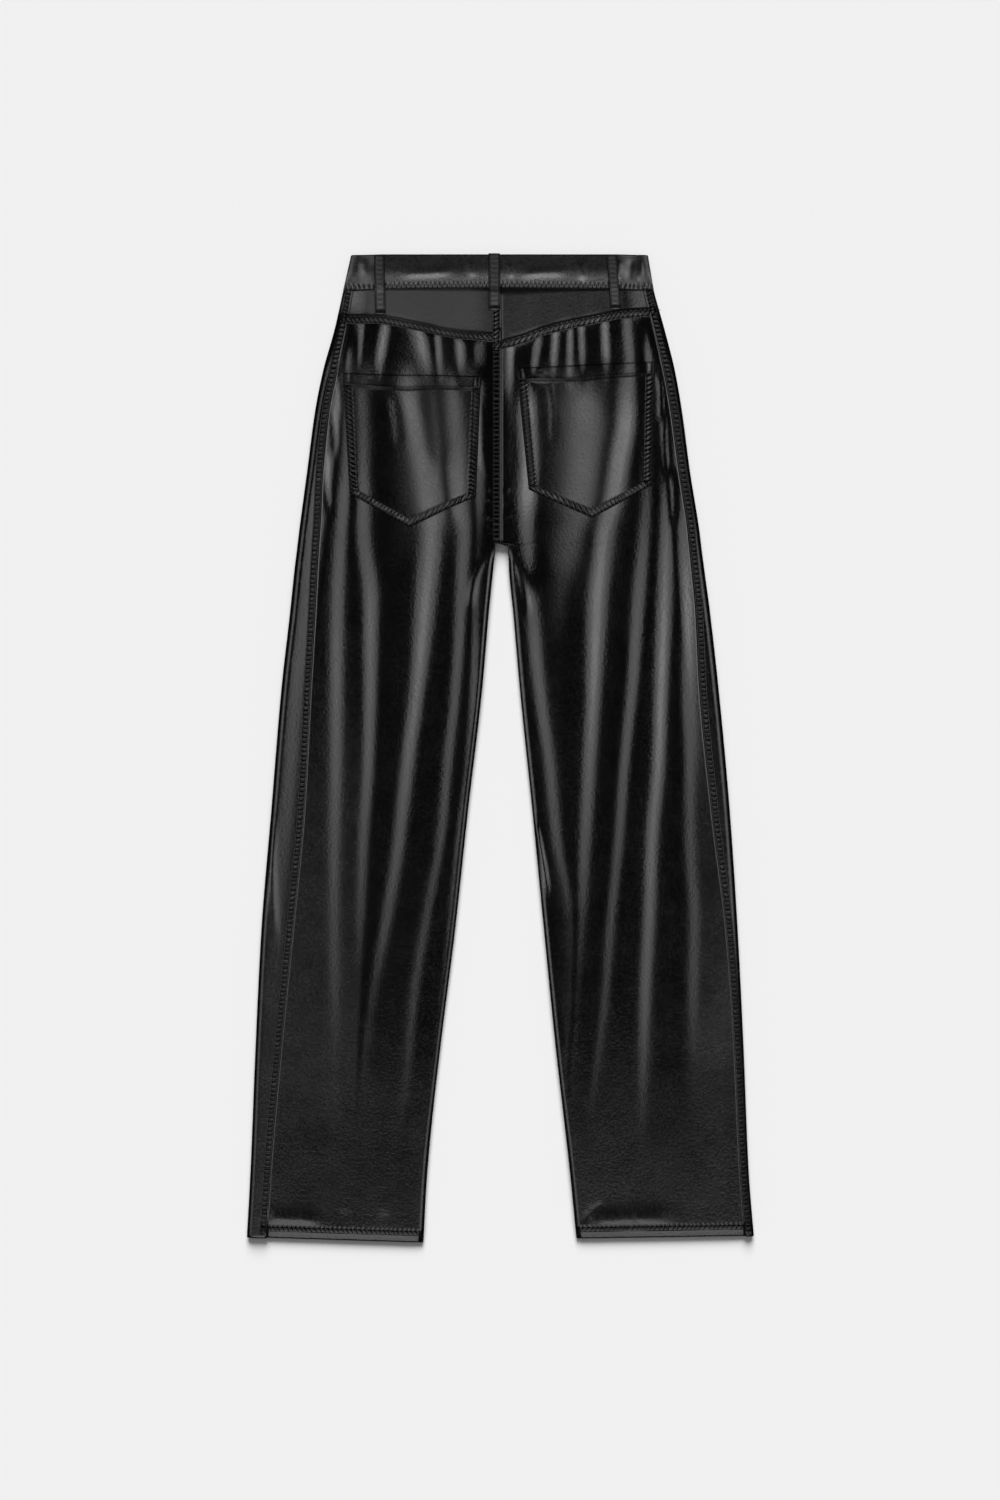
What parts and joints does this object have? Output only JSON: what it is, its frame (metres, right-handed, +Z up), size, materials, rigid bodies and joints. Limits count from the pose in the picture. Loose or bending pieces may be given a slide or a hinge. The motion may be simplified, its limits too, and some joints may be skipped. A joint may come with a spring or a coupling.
{
  "type": "faux leather trousers",
  "caption": "High-waisted straight faux leather trousers laid flat, back side up, with back yoke, patch pockets and belt loops.",
  "frame": {"origin": "middle of the garment's outline, on the surface that it lies on", "axes": "+X to the wearer's right, +Y from hems to waist, +Z up from the surface, out of the garment's back"},
  "size_m": [0.5586, 1.0874, 0.0169],
  "materials": {
    "panel_leather": "black faux leather, soft gloss, fine grain",
    "band_leather": "black faux leather, two layers, topstitched",
    "pocket_leather": "black faux leather, topstitched",
    "loop_leather": "black faux leather, folded, topstitched",
    "fly_leather": "matt back of the faux leather",
    "zip_tape": "black woven tape",
    "button_metal": "dark metal"
  },
  "bodies": {
    "root": {"front_left": "panel_leather", "front_right": "panel_leather", "back_left": "panel_leather", "back_right": "panel_leather", "yoke_left": "panel_leather", "yoke_right": "panel_leather", "waistband_left": "band_leather", "waistband_right": "band_leather", "pocket_left": "pocket_leather", "pocket_right": "pocket_leather", "loop_back_left": "loop_leather", "loop_back_centre": "loop_leather", "loop_back_right": "loop_leather", "loop_front_left": "loop_leather", "loop_front_right": "loop_leather", "fly_facing": "fly_leather", "zip": "zip_tape", "button": "button_metal"}
  },
  "joints": []
}
